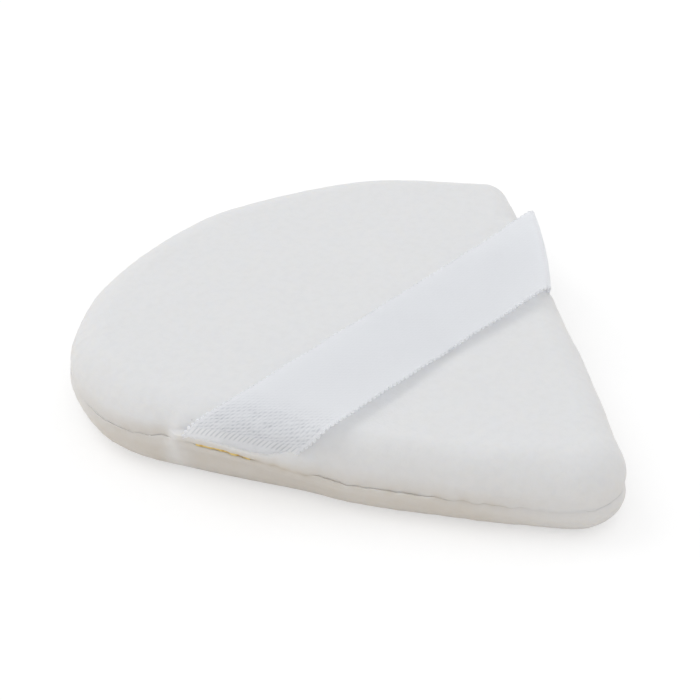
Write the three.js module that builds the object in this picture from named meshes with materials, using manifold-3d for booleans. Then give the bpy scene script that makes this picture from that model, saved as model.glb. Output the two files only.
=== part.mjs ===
// Wedge-shaped velour powder puff with a satin finger ribbon: two sewn covers over a foam core.
// Millimetres, +Z up. Shapes are drawn in the pattern frame: the wedge's sharp tip at the origin, its axis
// along +Y and the seam plane at Z = 0. The finished group stands on Z = 0, with its box centred on X and Y.
import * as THREE from "three";
import { mergeVertices } from "three/addons/utils/BufferGeometryUtils.js";
import Module from "manifold-3d";

const wasm = await Module();
wasm.setup();

// Wedge pattern, along the seam line
const TIP_ANGLE = 62; // degrees between the two sides
const SIDE_LENGTH = 74.7; // sharp tip to sharp corner
const LEFT_BOW = 3.4; // how far each edge swells outside its chord
const RIGHT_BOW = 0.1;
const ROUND_END_BOW = 21.5;
const TIP_RADIUS = 6.9;
const CRISP_CORNER_RADIUS = 5.3; // right corner
const BLUNT_CORNER_RADIUS = 19.7; // left corner, where the cover was turned and closed

// Section through the rim
const THICKNESS = 11; // flat rim to flat rim, pile included
const CROWN = 0.4; // rise of the back's middle over its rim
const CLOTH = 1.2; // velour with its pile
const RIM_DEPTH = 5.2; // how far in the rim's rounding reaches
const LIP_HEIGHT = 1.6; // widest line of each cover, measured from the seam
const GROOVE_DEPTH = 0.5; // seam line drawn in behind the lips
const SEAM_ALLOWANCE = 4; // cover edge turned in past the groove
const SEAM_GAP = 0.3; // between the two turned-in edges
const THREAD = 0.4; // sewing thread diameter
const SEAM_LINE = 1.8; // lockstitch, measured in from the groove
const CLEARANCE = 0.3; // between pieces that lie against each other

// Closing stitches in the groove of the blunt corner
const CLOSING_LENGTH = 24;
const CLOSING_STITCHES = 8;
const CLOSING_DEPTH = 0.05; // in from the lips
const CLOSING_SWAY = 0.12; // to either side of the seam plane

// Finger ribbon
const RIBBON_WIDTH = 13;
const RIBBON = 0.4; // ribbon thickness
const RIBBON_FROM_CORNERS = 32.6; // its middle line's place on the axis, back from the side's length
const RIBBON_TILT = 6.7; // degrees, right end further from the tip
const RIBBON_RISE = 0.8; // its underside over the flat rim
const LEFT_DROP = 0.8; // straight stretch outside the rim, between the bend and the fold
const RIGHT_DROP = 4; // long, after a sharp bend
const FOLD_RADIUS = 1.1; // where the ribbon turns in to the seam
const LEG_REACH = 16; // rim to the line where a leg meets the span
const TAIL_HELD = 3.4; // ribbon held in the seam, measured in from the groove
const RIGHT_STANDOFF = 1.3; // slack of the right leg outside the rim
const RIGHT_FLARE = 5; // degrees, more slack at the edge away from the tip
const RIGHT_LEAN = 1.3; // how far the ribbon leans in over the rim there, from its fold up to its bend

// Facets: steps along each edge of the outline, and round each curve of a section
const OUTLINE_STEPS = { tip: 7, right: 6, crisp: 6, round: 20, blunt: 9, left: 8 };
const RIM_STEPS = 4;
const LIP_STEPS = 2;
const BEND_STEPS = 8;
const FOLD_STEPS = 5;
const THREAD_SIDES = 6;
const CROWN_RINGS = [0.36, 0.7]; // shares of the way from the middle to the rim
const LEAST_FILLET = 0.3; // corner left on a ring set in past its own fillet

const halfThickness = THICKNESS / 2;
const seamFace = SEAM_GAP / 2;
const allowanceEnd = GROOVE_DEPTH + SEAM_ALLOWANCE;
const radians = THREE.MathUtils.degToRad;
const vector = (x, y) => new THREE.Vector2(x, y);

// Outline: three discs that overlap, with a fillet at each of their corners

// Disc whose edge runs from a to b and swells by bow to the right of that direction.
function discThrough(a, b, bow) {
  const chord = b.clone().sub(a);
  const radius = chord.lengthSq() / (8 * bow) + bow / 2;
  const outward = vector(chord.y, -chord.x).normalize();
  const middle = a.clone().add(b).multiplyScalar(0.5);
  return { centre: middle.addScaledVector(outward, bow - radius), radius };
}

// The point nearest to the corner that lies at distance ra from a and rb from b.
function pointAtDistances(a, ra, b, rb, corner) {
  const along = b.clone().sub(a);
  const length = along.length();
  along.divideScalar(length);
  const reach = (ra * ra - rb * rb + length * length) / (2 * length);
  const height = Math.sqrt(Math.max(ra * ra - reach * reach, 0));
  const across = vector(-along.y, along.x);
  const foot = a.clone().addScaledVector(along, reach);
  const choices = [height, -height].map((h) => foot.clone().addScaledVector(across, h));
  return choices.sort((p, q) => p.distanceTo(corner) - q.distanceTo(corner))[0];
}

const tipHalf = radians(TIP_ANGLE / 2);
const sharpTip = vector(0, 0);
const sharpRight = vector(SIDE_LENGTH * Math.sin(tipHalf), SIDE_LENGTH * Math.cos(tipHalf));
const sharpLeft = vector(-sharpRight.x, sharpRight.y);
const rightDisc = discThrough(sharpTip, sharpRight, RIGHT_BOW);
const roundDisc = discThrough(sharpRight, sharpLeft, ROUND_END_BOW);
const leftDisc = discThrough(sharpLeft, sharpTip, LEFT_BOW);

function fillet(discA, discB, radius, corner, inset) {
  const r = Math.max(radius - inset, LEAST_FILLET);
  const ra = discA.radius - inset - r;
  const rb = discB.radius - inset - r;
  const centre = pointAtDistances(discA.centre, ra, discB.centre, rb, corner);
  const touch = (disc) => centre.clone().addScaledVector(centre.clone().sub(disc.centre).normalize(), r);
  return { centre, from: touch(discA), to: touch(discB) };
}

function arcPoint(centre, from, to, share) {
  const start = from.clone().sub(centre);
  const end = to.clone().sub(centre);
  const turn = (end.angle() - start.angle() + 2 * Math.PI) % (2 * Math.PI);
  return start.rotateAround(vector(0, 0), turn * share).add(centre);
}

// The six arcs of the outline, set in by inset, anticlockwise from the tip.
function outlineArcs(inset) {
  const tip = fillet(leftDisc, rightDisc, TIP_RADIUS, sharpTip, inset);
  const crisp = fillet(rightDisc, roundDisc, CRISP_CORNER_RADIUS, sharpRight, inset);
  const blunt = fillet(roundDisc, leftDisc, BLUNT_CORNER_RADIUS, sharpLeft, inset);
  return {
    tip,
    right: { centre: rightDisc.centre, from: tip.to, to: crisp.from },
    crisp,
    round: { centre: roundDisc.centre, from: crisp.to, to: blunt.from },
    blunt,
    left: { centre: leftDisc.centre, from: blunt.to, to: tip.from },
  };
}

function outline(inset) {
  const arcs = outlineArcs(inset);
  return Object.entries(OUTLINE_STEPS).flatMap(([name, steps]) => {
    const { centre, from, to } = arcs[name];
    return Array.from({ length: steps }, (_, i) => arcPoint(centre, from, to, i / steps));
  });
}

const footprint = new THREE.Box2().setFromPoints(outline(0));
const middle = footprint.getCenter(vector(0, 0));

// Solids

function geometryOf(points, triangles) {
  const geometry = new THREE.BufferGeometry();
  geometry.setAttribute("position", new THREE.Float32BufferAttribute(points.flatMap((p) => p.toArray()), 3));
  geometry.setIndex(triangles);
  return geometry;
}

// A body swept round the outline. Each station of its section is { inset, z }, with share < 1 where the
// ring shrinks towards the middle and 0 at a pole. Stations run from the top outwards and down, and a
// thread's section closes on itself.
function sweptRound(stations, closed = false) {
  const points = [];
  const rings = stations.map(({ inset, z, share = 1 }) => {
    const ring = share === 0 ? [middle] : outline(inset).map((p) => middle.clone().lerp(p, share));
    return ring.map((p) => points.push(new THREE.Vector3(p.x, p.y, z)) - 1);
  });
  const triangles = [];
  const pairs = closed ? rings.length : rings.length - 1;
  for (let k = 0; k < pairs; k++) {
    const upper = rings[k];
    const lower = rings[(k + 1) % rings.length];
    const count = Math.max(upper.length, lower.length);
    for (let i = 0; i < count; i++) {
      const next = (i + 1) % count;
      const corner = (ring, at) => ring[ring.length === 1 ? 0 : at];
      if (lower.length > 1) triangles.push(corner(upper, i), lower[i], lower[next]);
      if (upper.length > 1) triangles.push(upper[i], corner(lower, next), upper[next]);
    }
  }
  return geometryOf(points, triangles);
}

// A body lofted through closed loops of equal count, with flat ends.
function lofted(loops) {
  const sides = loops[0].length;
  const points = loops.flat();
  const triangles = [];
  for (let k = 0; k + 1 < loops.length; k++) {
    for (let i = 0; i < sides; i++) {
      const [a, b] = [k * sides + i, k * sides + ((i + 1) % sides)];
      triangles.push(a, b, b + sides, a, b + sides, a + sides);
    }
  }
  const last = (loops.length - 1) * sides;
  for (let i = 1; i + 1 < sides; i++) {
    triangles.push(0, i + 1, i, last, last + i, last + i + 1);
  }
  return geometryOf(points, triangles);
}

function solidOf(geometry) {
  const merged = mergeVertices(new THREE.BufferGeometry()
    .setAttribute("position", geometry.getAttribute("position"))
    .setIndex(geometry.index));
  return new wasm.Manifold(new wasm.Mesh({
    numProp: 3,
    vertProperties: new Float32Array(merged.attributes.position.array),
    triVerts: new Uint32Array(merged.index.array),
  }));
}

function geometryFromSolid(solid) {
  const mesh = solid.getMesh();
  const geometry = new THREE.BufferGeometry();
  geometry.setAttribute("position", new THREE.BufferAttribute(mesh.vertProperties, 3));
  geometry.setIndex(new THREE.BufferAttribute(mesh.triVerts, 1));
  return geometry;
}

// Sections through the rim

// Rounding from the flat of a cover to its widest line, through steps of a quarter ellipse.
function rimCurve(side, top, lastAngle = Math.PI / 2) {
  return Array.from({ length: RIM_STEPS + 1 }, (_, i) => {
    const angle = (lastAngle * i) / RIM_STEPS;
    return {
      inset: RIM_DEPTH - (RIM_DEPTH - side) * Math.sin(angle),
      z: LIP_HEIGHT + (top - LIP_HEIGHT) * Math.cos(angle),
    };
  });
}

// Tuck from a cover's widest line in to the seam, without the widest line itself.
function lipCurve(side, groove, seam) {
  return Array.from({ length: LIP_STEPS }, (_, i) => {
    const angle = (Math.PI / 2) * ((i + 1) / LIP_STEPS);
    return {
      inset: groove - (groove - side) * Math.cos(angle),
      z: LIP_HEIGHT - (LIP_HEIGHT - seam) * Math.sin(angle),
    };
  });
}

// Rings from the middle to the start of the rim's rounding, rising to the crown.
function crownRings(top, crown) {
  return [0, ...CROWN_RINGS].map((share) => ({
    inset: RIM_DEPTH,
    share,
    z: top + crown * (1 - share * share),
  }));
}

// One cover above the seam: outside, turned-in edge, inside.
function coverSection(crown) {
  const inside = [
    ...crownRings(halfThickness - CLOTH, crown),
    ...rimCurve(CLOTH, halfThickness - CLOTH),
    ...lipCurve(CLOTH, GROOVE_DEPTH + CLOTH, seamFace + CLOTH),
  ].reverse();
  return [
    ...crownRings(halfThickness, crown),
    ...rimCurve(0, halfThickness),
    ...lipCurve(0, GROOVE_DEPTH, seamFace),
    { inset: allowanceEnd, z: seamFace },
    { inset: allowanceEnd, z: seamFace + CLOTH },
    ...inside,
  ];
}

const mirrored = (section) => section.map((s) => ({ ...s, z: -s.z })).reverse();

// The foam fills both covers, with a channel round its edge for the turned-in cover edges and their threads.
function coreSection() {
  const skin = CLOTH + CLEARANCE;
  const top = halfThickness - skin;
  const channel = seamFace + CLOTH + THREAD + 2 * CLEARANCE;
  const edgeAngle = Math.acos((channel - LIP_HEIGHT) / (top - LIP_HEIGHT));
  const half = (crown) => [
    ...crownRings(top, crown),
    ...rimCurve(skin, top, edgeAngle),
    { inset: allowanceEnd + CLEARANCE, z: channel },
  ];
  return [...half(CROWN), ...mirrored(half(0))];
}

// A thread that runs round the whole seam, on the inner side of a turned-in edge.
function threadSection(z) {
  const inset = GROOVE_DEPTH + SEAM_LINE;
  return Array.from({ length: THREAD_SIDES }, (_, i) => {
    const angle = (2 * Math.PI * i) / THREAD_SIDES;
    return { inset: inset - (THREAD / 2) * Math.sin(angle), z: z + (THREAD / 2) * Math.cos(angle) };
  });
}

const threadHeight = seamFace + CLOTH + CLEARANCE + THREAD / 2;

// Ladder of hand stitches that sways from lip to lip in the groove of the blunt corner.
function closingThread() {
  const { centre, from, to } = outlineArcs(CLOSING_DEPTH).blunt;
  const radius = centre.distanceTo(from);
  const corner = radius * Math.acos(from.clone().sub(centre).dot(to.clone().sub(centre)) / (radius * radius));
  const share = Math.min(CLOSING_LENGTH / corner, 1);
  const points = Array.from({ length: 2 * CLOSING_STITCHES + 1 }, (_, i) => {
    const along = (1 - share) / 2 + (share * i) / (2 * CLOSING_STITCHES);
    const p = arcPoint(centre, from, to, along);
    return new THREE.Vector3(p.x, p.y, i % 2 ? CLOSING_SWAY : -CLOSING_SWAY);
  });
  const section = Array.from({ length: THREAD_SIDES }, (_, i) => {
    return vector(THREAD / 2, 0).rotateAround(vector(0, 0), (2 * Math.PI * i) / THREAD_SIDES);
  });
  return new THREE.ExtrudeGeometry(new THREE.Shape(section), {
    extrudePath: new THREE.CatmullRomCurve3(points),
    steps: 2 * points.length,
  });
}

// Finger ribbon: a straight strip that bends over each side's rim and turns in to the seam there

const along = vector(1, 0).rotateAround(vector(0, 0), radians(RIBBON_TILT));
const across = vector(-along.y, along.x);
const crossing = vector(0, SIDE_LENGTH - RIBBON_FROM_CORNERS);

// Where the ribbon's middle line leaves a side, with the way out and the line of the bend.
function ribbonEnd(disc, direction, { standoff, flare, drop, lean }) {
  const offset = crossing.clone().sub(disc.centre);
  const b = offset.dot(along) * direction;
  const reach = -b + Math.sqrt(b * b - offset.lengthSq() + disc.radius * disc.radius);
  const rim = crossing.clone().addScaledVector(along, direction * reach);
  const out = rim.clone().sub(disc.centre).normalize().rotateAround(vector(0, 0), radians(flare));
  const level = halfThickness + RIBBON_RISE + RIBBON / 2;
  const bendRadius = level - drop - FOLD_RADIUS;
  return { rim, out, bend: vector(-out.y, out.x), standoff, level, drop, bendRadius, lean };
}

const leftEnd = ribbonEnd(leftDisc, -1, {
  standoff: CLEARANCE + RIBBON / 2,
  flare: 0,
  drop: LEFT_DROP,
  lean: 0,
});
const rightEnd = ribbonEnd(rightDisc, 1, {
  standoff: RIGHT_STANDOFF,
  flare: -RIGHT_FLARE,
  drop: RIGHT_DROP,
  lean: -RIGHT_LEAN,
});

// Lengths along the ribbon from the rim point, where its bend, drop, fold and tail begin.
function ribbonMarks({ standoff, drop, bendRadius }) {
  const bendStart = standoff - bendRadius;
  const dropStart = bendStart + (bendRadius * Math.PI) / 2;
  const foldStart = dropStart + drop;
  const tailStart = foldStart + (FOLD_RADIUS * Math.PI) / 2;
  const tailEnd = tailStart + standoff - FOLD_RADIUS + GROOVE_DEPTH + TAIL_HELD;
  return { bendStart, dropStart, foldStart, tailStart, tailEnd };
}

// Place and outward normal of the ribbon's mid-surface at a length past the rim point: { out, z, normal }.
function ribbonProfile(end, length) {
  const { level, bendRadius } = end;
  const { bendStart, dropStart, foldStart, tailStart } = ribbonMarks(end);
  if (length <= bendStart) return { out: length, z: level, normal: vector(0, 1) };
  if (length <= dropStart) {
    const angle = (length - bendStart) / bendRadius;
    const normal = vector(Math.sin(angle), Math.cos(angle));
    return { out: bendStart + bendRadius * normal.x, z: level - bendRadius * (1 - normal.y), normal };
  }
  if (length <= foldStart) {
    return { out: end.standoff, z: level - bendRadius - (length - dropStart), normal: vector(1, 0) };
  }
  const angle = Math.min((length - foldStart) / FOLD_RADIUS, Math.PI / 2);
  const normal = vector(Math.cos(angle), -Math.sin(angle));
  const past = Math.max(length - tailStart, 0);
  return {
    out: end.standoff - FOLD_RADIUS * (1 - normal.x) - past,
    z: FOLD_RADIUS * (1 + normal.y),
    normal,
  };
}

// The ribbon's cross line at one length: its four corners, as a loop seen along the ribbon.
function ribbonLoop(end, length, grow = 0) {
  const { out, z, normal } = ribbonProfile(end, length);
  const flat = end.rim.clone().addScaledVector(end.out, length);
  const edge = (half) => (half - flat.clone().sub(crossing).dot(across)) / end.bend.dot(across);
  const halfWidth = RIBBON_WIDTH / 2 + grow;
  const halfThick = RIBBON / 2 + grow;
  const height = Math.max(z - FOLD_RADIUS, 0) / (end.level - FOLD_RADIUS);
  const corner = (half, side) => {
    const p = end.rim.clone().addScaledVector(along, end.lean * height);
    p.addScaledVector(end.out, out + normal.x * side);
    p.addScaledVector(end.bend, edge(half));
    return new THREE.Vector3(p.x, p.y, z + normal.y * side);
  };
  const loop = [
    corner(-halfWidth, halfThick),
    corner(-halfWidth, -halfThick),
    corner(halfWidth, -halfThick),
    corner(halfWidth, halfThick),
  ];
  return end.out.x > 0 ? loop : loop.reverse();
}

function spread(from, to, steps) {
  return Array.from({ length: steps + 1 }, (_, i) => from + ((to - from) * i) / steps);
}

function ribbonLeg(end) {
  const { bendStart, dropStart, foldStart } = ribbonMarks(end);
  const stops = [-LEG_REACH, ...spread(bendStart, dropStart, BEND_STEPS), foldStart - CLEARANCE];
  return lofted(stops.map((length) => ribbonLoop(end, length)));
}

function ribbonTail(end, grow = 0) {
  const { foldStart, tailStart, tailEnd } = ribbonMarks(end);
  const stops = [...spread(foldStart, tailStart, FOLD_STEPS), tailEnd + grow];
  return lofted(stops.map((length) => ribbonLoop(end, length, grow)));
}

function ribbonSpan() {
  const inner = -LEG_REACH - CLEARANCE;
  return lofted([ribbonLoop(leftEnd, inner).reverse(), ribbonLoop(rightEnd, inner)]);
}

// Each cover's seam opens just enough for the ribbon's two tails.
function coverWithRibbonSlots(section) {
  return [leftEnd, rightEnd].reduce(
    (cover, end) => cover.subtract(solidOf(ribbonTail(end, CLEARANCE))),
    solidOf(sweptRound(section)),
  );
}

// Finishes
const finish = (color, roughness) => new THREE.MeshStandardMaterial({ color, roughness, metalness: 0 });
const velour = finish(0xe0e0e2, 0.95);
const sponge = finish(0xf0d68a, 0.9);
const satin = finish(0xe4e6ee, 0.38);
const cotton = finish(0xecebe6, 0.8);

const puff = new THREE.Group();
puff.position.set(-middle.x, -middle.y, halfThickness);

function piece(name, geometry, material) {
  const mesh = new THREE.Mesh(geometry, material);
  mesh.name = name;
  puff.add(mesh);
}

const backSection = coverSection(CROWN);
const faceSection = mirrored(coverSection(0));
piece("back_cover", geometryFromSolid(coverWithRibbonSlots(backSection)), velour);
piece("face_cover", geometryFromSolid(coverWithRibbonSlots(faceSection)), velour);
piece("foam_core", sweptRound(coreSection()), sponge);
piece("needle_thread", sweptRound(threadSection(threadHeight), true), cotton);
piece("bobbin_thread", sweptRound(threadSection(-threadHeight), true), cotton);
piece("closing_thread", closingThread(), cotton);
piece("strap_span", ribbonSpan(), satin);
piece("strap_left_leg", ribbonLeg(leftEnd), satin);
piece("strap_left_tail", ribbonTail(leftEnd), satin);
piece("strap_right_leg", ribbonLeg(rightEnd), satin);
piece("strap_right_tail", ribbonTail(rightEnd), satin);

export default puff;
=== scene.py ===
import math
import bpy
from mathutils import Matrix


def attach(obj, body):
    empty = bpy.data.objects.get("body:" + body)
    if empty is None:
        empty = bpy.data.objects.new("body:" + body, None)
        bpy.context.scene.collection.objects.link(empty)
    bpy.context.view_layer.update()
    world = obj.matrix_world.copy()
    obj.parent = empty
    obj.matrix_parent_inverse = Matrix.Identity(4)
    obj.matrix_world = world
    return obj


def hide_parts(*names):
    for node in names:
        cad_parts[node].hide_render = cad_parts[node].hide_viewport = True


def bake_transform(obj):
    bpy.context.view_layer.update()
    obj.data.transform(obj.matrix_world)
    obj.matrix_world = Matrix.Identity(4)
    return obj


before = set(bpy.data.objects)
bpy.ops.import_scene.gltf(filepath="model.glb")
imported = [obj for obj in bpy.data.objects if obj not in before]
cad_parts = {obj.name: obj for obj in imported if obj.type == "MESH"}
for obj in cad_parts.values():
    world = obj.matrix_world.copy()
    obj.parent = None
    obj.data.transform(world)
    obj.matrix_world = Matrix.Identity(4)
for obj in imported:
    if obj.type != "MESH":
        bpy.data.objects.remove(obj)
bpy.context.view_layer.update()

from types import SimpleNamespace

import bpy
import numpy as np
from mathutils import Matrix

scene = bpy.context.scene
scene.view_settings.view_transform = "Standard"
millimetre = 0.001
fullTurn = 2 * math.pi
print("frame loaded:", len(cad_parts), "nodes")


# camera and light
shot = {
    "azimuth": 227.97,  # degrees round from +X
    "elevation": 32.74,
    "distance": 0.4808,
    "aim": (-0.00284, 0.00633, 0.0055),
    "roll": -0.46,  # degrees
    "lens": 190.08,
}
studio = {
    "world": 0.745,
    "lamps": {
        "key": {"power": 2.6, "size": 0.9, "place": (-0.30, 0.68, 0.93), "tint": (1, 1, 1)},
        "fill": {"power": 0.6, "size": 0.8, "place": (0.75, 0.15, 0.62), "tint": (0.88, 0.94, 1)},
        "front": {"power": 1.1, "size": 0.8, "place": (-0.55, -0.62, 0.95), "tint": (1, 0.99, 0.97)},
    },
    "floorColour": (0.5, 0.5, 0.5, 1),
    "bounceColour": (0.87, 0.83, 0.78, 1),  # what the floor throws back at the puff
    "floorGlow": 0.56,
    "floorReach": 3,  # metres from the middle to each side
    "floorDrop": 0.00005,  # under the puff, so that the two don't share a plane
}


def unit(v):
    return v / np.linalg.norm(v)


def standing(right, top, back, place):
    return Matrix(np.vstack((np.column_stack((right, top, back, place)), (0, 0, 0, 1))).tolist())


def addCamera():
    azimuth, elevation, roll = (math.radians(shot[k]) for k in ("azimuth", "elevation", "roll"))
    back = np.array((math.cos(elevation) * math.cos(azimuth),
                     math.cos(elevation) * math.sin(azimuth), math.sin(elevation)))
    side = np.array((-math.sin(azimuth), math.cos(azimuth), 0))
    up = np.cross(back, side)
    right = side * math.cos(roll) + up * math.sin(roll)
    top = up * math.cos(roll) - side * math.sin(roll)
    place = np.array(shot["aim"]) + back * shot["distance"]
    data = bpy.data.cameras.new("camera")
    data.sensor_width = 36
    data.lens = shot["lens"]
    data.clip_start = 0.01
    camera = bpy.data.objects.new("camera", data)
    camera.matrix_world = standing(right, top, back, place)
    scene.collection.objects.link(camera)
    scene.camera = camera


def addLamp(name, power, size, place, tint):
    data = bpy.data.lights.new(name, "AREA")
    data.energy = power
    data.color = tint
    data.shape = "DISK"
    data.size = size
    lamp = bpy.data.objects.new(name, data)
    away = unit(np.array(place))
    side = unit(np.cross((0, 0, 1), away))
    lamp.matrix_world = standing(side, np.cross(away, side), away, place)
    scene.collection.objects.link(lamp)


# short forms for building node trees
def addNode(tree, kind, **settings):
    node = tree.nodes.new(kind)
    for key, value in settings.items():
        setattr(node, key, value)
    return node


def wire(tree, *pairs):
    for source, target in pairs:
        tree.links.new(source, target)


def mathNode(tree, operation, first, second=None):
    node = addNode(tree, "ShaderNodeMath", operation=operation)
    for socket, value in zip(node.inputs, (first, second)):
        if isinstance(value, (int, float)):
            socket.default_value = value
        elif value is not None:
            tree.links.new(value, socket)
    return node.outputs[0]


def whiteToCamera(tree):
    path = addNode(tree, "ShaderNodeLightPath")
    rays = mathNode(tree, "MAXIMUM", path.outputs["Is Camera Ray"], path.outputs["Is Glossy Ray"])
    return mathNode(tree, "MAXIMUM", rays, path.outputs["Is Transmission Ray"])


def addWorld():
    world = bpy.data.worlds.new("studio")
    world.use_nodes = True
    tree = world.node_tree
    shader = tree.nodes["Background"]
    shader.inputs["Color"].default_value = (1, 1, 1, 1)
    seen = whiteToCamera(tree)
    share = mathNode(tree, "MULTIPLY", seen, 1 - studio["world"])
    wire(tree, (mathNode(tree, "ADD", share, studio["world"]), shader.inputs["Strength"]))
    scene.world = world


def addFloor():
    mesh = bpy.data.meshes.new("floor")
    reach = studio["floorReach"]
    corners = [(-reach, -reach, 0), (reach, -reach, 0), (reach, reach, 0), (-reach, reach, 0)]
    mesh.from_pydata(corners, [], [(0, 1, 2, 3)])
    floor = bpy.data.objects.new("floor", mesh)
    floor.location.z = -studio["floorDrop"]
    scene.collection.objects.link(floor)
    finish = bpy.data.materials.new("floor")
    finish.use_nodes = True
    tree = finish.node_tree
    tree.nodes.remove(tree.nodes["Principled BSDF"])
    seen = whiteToCamera(tree)
    colour = addNode(tree, "ShaderNodeMix", data_type="RGBA")
    colour.inputs[6].default_value = studio["bounceColour"]
    colour.inputs[7].default_value = studio["floorColour"]
    diffuse = addNode(tree, "ShaderNodeBsdfDiffuse")
    glow = addNode(tree, "ShaderNodeEmission")
    total = addNode(tree, "ShaderNodeAddShader")
    wire(tree, (seen, colour.inputs[0]), (colour.outputs[2], diffuse.inputs["Color"]),
         (mathNode(tree, "MULTIPLY", seen, studio["floorGlow"]), glow.inputs["Strength"]),
         (diffuse.outputs[0], total.inputs[0]), (glow.outputs[0], total.inputs[1]),
         (total.outputs[0], tree.nodes["Material Output"].inputs["Surface"]))
    mesh.materials.append(finish)


addCamera()
addWorld()
for lamp, values in studio["lamps"].items():
    addLamp(lamp, **values)
addFloor()
print("camera, light and floor set")


# finishes
def startFinish(name, **sockets):
    finish = bpy.data.materials.new(name)
    finish.use_nodes = True
    tree = finish.node_tree
    shader = tree.nodes["Principled BSDF"]
    for label, value in sockets.items():
        shader.inputs[label].default_value = value
    return finish, tree, shader


def noise(tree, place, scale, detail=2.0, roughness=0.5):
    node = addNode(tree, "ShaderNodeTexNoise")
    node.inputs["Scale"].default_value = scale
    node.inputs["Detail"].default_value = detail
    node.inputs["Roughness"].default_value = roughness
    tree.links.new(place, node.inputs["Vector"])
    return node.outputs[0]


def cellDistance(tree, place, scale):
    node = addNode(tree, "ShaderNodeTexVoronoi")
    node.inputs["Scale"].default_value = scale
    tree.links.new(place, node.inputs["Vector"])
    return node.outputs["Distance"]


def ramp(tree, factor, *stops):
    node = addNode(tree, "ShaderNodeValToRGB")
    bands = node.color_ramp.elements
    while len(bands) < len(stops):
        bands.new(0.5)
    for band, (position, colour) in zip(bands, stops):
        band.position = position
        band.color = (*colour, 1)
    tree.links.new(factor, node.inputs[0])
    return node.outputs["Color"]


def spread(tree, factor, low, high):
    node = addNode(tree, "ShaderNodeMapRange")
    node.inputs["To Min"].default_value = low
    node.inputs["To Max"].default_value = high
    tree.links.new(factor, node.inputs["Value"])
    return node.outputs[0]


def bump(tree, height, distance, strength, under=None):
    node = addNode(tree, "ShaderNodeBump")
    node.inputs["Distance"].default_value = distance
    node.inputs["Strength"].default_value = strength
    tree.links.new(height, node.inputs["Height"])
    if under is not None:
        tree.links.new(under, node.inputs["Normal"])
    return node.outputs[0]


def mixed(tree, factor, first, second, blend="MIX"):
    node = addNode(tree, "ShaderNodeMix", data_type="RGBA", blend_type=blend)
    for socket, value in ((node.inputs[0], factor), (node.inputs[6], first), (node.inputs[7], second)):
        if isinstance(value, (int, float, tuple)):
            socket.default_value = value
        else:
            tree.links.new(value, socket)
    return node.outputs[2]


def objectPlace(tree):
    return addNode(tree, "ShaderNodeTexCoord").outputs["Object"]


def attribute(tree, label):
    return addNode(tree, "ShaderNodeAttribute", attribute_name=label).outputs["Fac"]


velourLook = {
    "white": (0.775, 0.78, 0.79),
    "hollow": (0.755, 0.76, 0.77),  # between tufts of pile
    "worn": (0.75, 0.75, 0.745),
    "warm": (0.675, 0.645, 0.605),  # painted shade on the lower walls and the seam's lips, with a powder tint on the face side
    "crease": (0.60, 0.55, 0.48),  # painted shade at the bottom of the seam
    "lint": (0.42, 0.42, 0.44),
    "tufts": 900,  # per metre
    "pile": 3600,
    "patches": 75,
    "blotches": 420,
    "specks": 110,
    "speckSize": 0.018,  # share of the space between specks
    "sheen": 0.35,
    "glow": 0.5,  # share of light that spreads in the pile
    "glowDepth": 0.0008,
    "glowTint": (1, 0.9, 0.75),
}


def velourFinish():
    finish, tree, shader = startFinish("velour", **{
        "Sheen Weight": velourLook["sheen"], "Sheen Roughness": 0.45, "Specular IOR Level": 0.2,
        "Subsurface Weight": velourLook["glow"], "Subsurface Radius": velourLook["glowTint"],
        "Subsurface Scale": velourLook["glowDepth"]})
    place = objectPlace(tree)
    tufts = noise(tree, place, velourLook["tufts"], 3, 0.6)
    pile = noise(tree, place, velourLook["pile"], 2)
    patches = noise(tree, place, velourLook["patches"], 3)
    blotches = noise(tree, place, velourLook["blotches"], 3, 0.65)
    cloth = ramp(tree, tufts, (0.32, velourLook["hollow"]), (0.58, velourLook["white"]))
    worn = mixed(tree, spread(tree, patches, 0.0, 0.16), cloth, (*velourLook["worn"], 1))
    # the lower walls are painted warmer and darker: painted shade, with a powder tint on the face side
    soiled = mathNode(tree, "MULTIPLY", attribute(tree, "shadeAndPowder"), spread(tree, blotches, 0.55, 1.35))
    worn = mixed(tree, soiled, worn, (*velourLook["warm"], 1))
    # painted shade at the bottom of the seam
    worn = mixed(tree, attribute(tree, "crease"), worn, (*velourLook["crease"], 1))
    speck = cellDistance(tree, place, velourLook["specks"])
    lint = mathNode(tree, "MULTIPLY", mathNode(tree, "LESS_THAN", speck, velourLook["speckSize"]), 0.5)
    wire(tree, (mixed(tree, lint, worn, (*velourLook["lint"], 1)), shader.inputs["Base Color"]),
         (spread(tree, tufts, 0.82, 0.98), shader.inputs["Roughness"]),
         (bump(tree, pile, 0.00006, 0.3, bump(tree, tufts, 0.0001, 0.22)), shader.inputs["Normal"]))
    return finish


spongeLook = {
    "foam": (0.87, 0.67, 0.25),
    "pore": (0.62, 0.36, 0.07),
    "pale": (0.92, 0.76, 0.38),
    "cells": 1500,  # per metre
    "patches": 260,
}


def spongeFinish():
    finish, tree, shader = startFinish("sponge", **{"Specular IOR Level": 0.25})
    place = objectPlace(tree)
    cells = cellDistance(tree, place, spongeLook["cells"])
    patches = noise(tree, place, spongeLook["patches"], 3)
    colour = ramp(tree, cells, (0.15, spongeLook["pore"]), (0.55, spongeLook["foam"]))
    colour = mixed(tree, spread(tree, patches, 0, 0.3), colour, (*spongeLook["pale"], 1))
    wire(tree, (colour, shader.inputs["Base Color"]),
         (spread(tree, patches, 0.8, 0.95), shader.inputs["Roughness"]),
         (bump(tree, cells, 0.0003, 0.8), shader.inputs["Normal"]))
    return finish


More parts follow.
